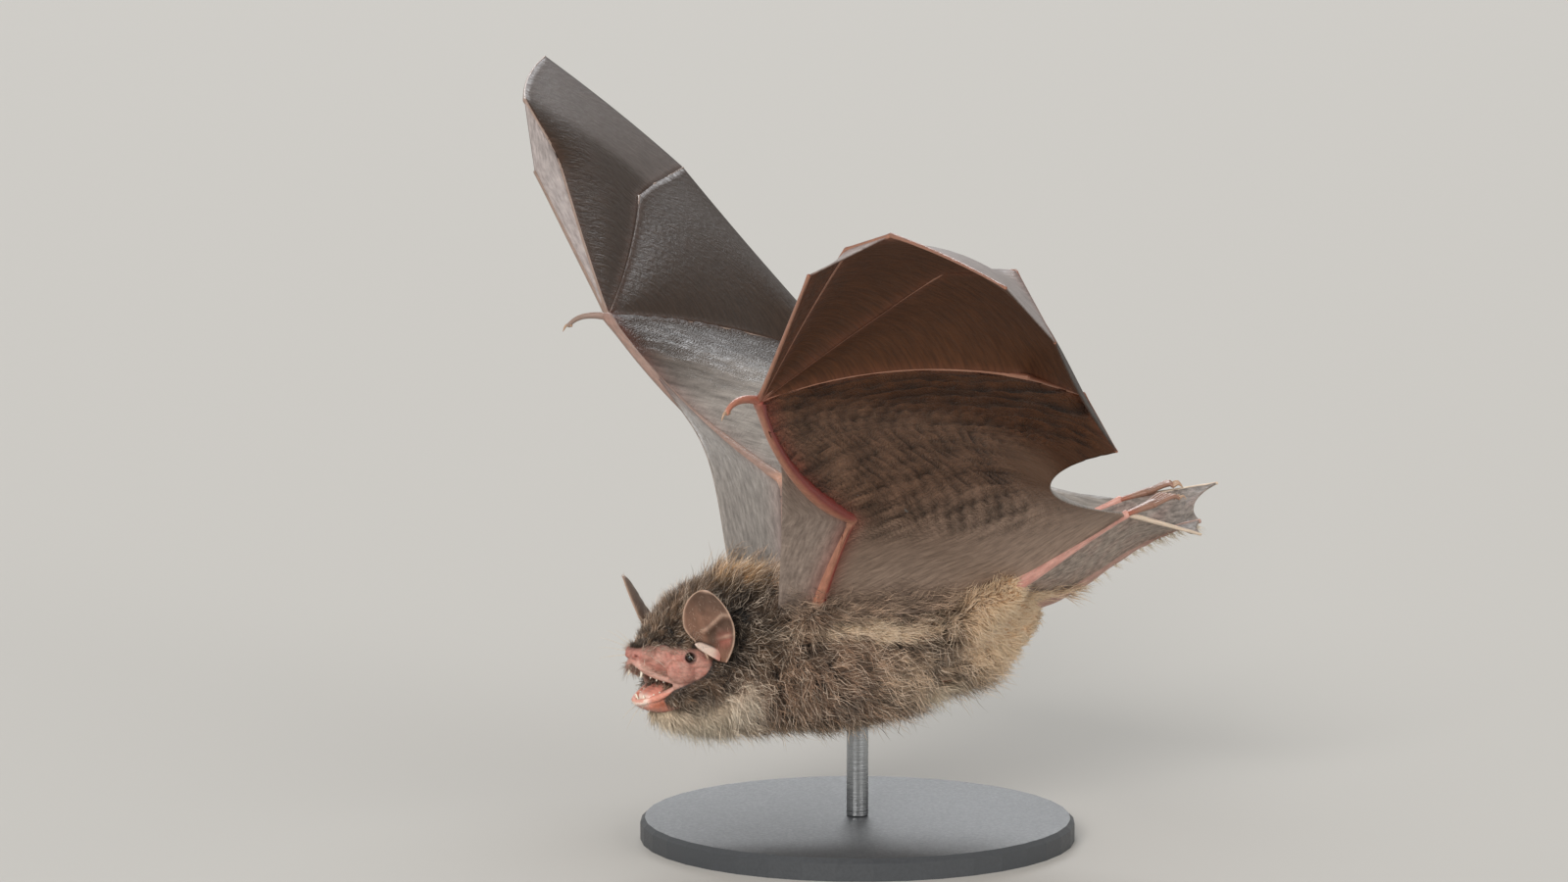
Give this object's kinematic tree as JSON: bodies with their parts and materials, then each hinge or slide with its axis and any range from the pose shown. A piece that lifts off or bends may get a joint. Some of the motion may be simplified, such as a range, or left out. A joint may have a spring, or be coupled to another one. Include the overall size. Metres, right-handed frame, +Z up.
{
  "type": "bent-wing bat in flight",
  "caption": "Life-size bent-wing bat caught in flight, wings raised, mouth open and tail membrane cupped, held by one rod on a round display base.",
  "frame": {"origin": "centre of the underside of the round stand base", "axes": "+Z up; the bat faces -X, its left wing reaches towards -Y and its right wing towards +Y; the tail is towards +X"},
  "size_m": [0.0858, 0.2727, 0.105],
  "materials": {
    "coat": "short dense fur, dark at the roots with tan and grey tips",
    "skin": "thin bare skin over bone and muscle, slightly glossy",
    "membrane": "thin wrinkled wing membrane with a satin sheen",
    "ear": "thin translucent skin, bare and satin",
    "mouth": "moist bare skin",
    "eye": "wet and glossy",
    "stand_base": "fine satin black paint",
    "stand_rod": "drawn steel rod"
  },
  "bodies": {
    "root": {"head": "coat", "neck": "coat", "trunk": "coat", "thigh_left": "coat", "thigh_right": "coat", "lower_jaw": "mouth", "tongue": "mouth", "eye_left": "eye", "ear_left": "ear", "shin_left": "skin", "foot_left": "skin", "calcar_left": "skin", "upper_arm_left": "skin", "forearm_left": "skin", "thumb_left": "skin", "digit_2_left": "skin", "digit_3_left": "skin", "digit_4_left": "skin", "digit_5_left": "skin", "propatagium_left": "membrane", "plagiopatagium_left": "membrane", "membrane_2_3_left": "membrane", "membrane_3_4_left": "membrane", "membrane_4_5_left": "membrane", "tail_membrane_left": "membrane", "eye_right": "eye", "ear_right": "ear", "shin_right": "skin", "foot_right": "skin", "calcar_right": "skin", "upper_arm_right": "skin", "forearm_right": "skin", "thumb_right": "skin", "digit_2_right": "skin", "digit_3_right": "skin", "digit_4_right": "skin", "digit_5_right": "skin", "propatagium_right": "membrane", "plagiopatagium_right": "membrane", "membrane_2_3_right": "membrane", "membrane_3_4_right": "membrane", "membrane_4_5_right": "membrane", "tail_membrane_right": "membrane", "tail": "membrane", "stand_base": "stand_base", "stand_rod": "stand_rod"}
  },
  "joints": []
}
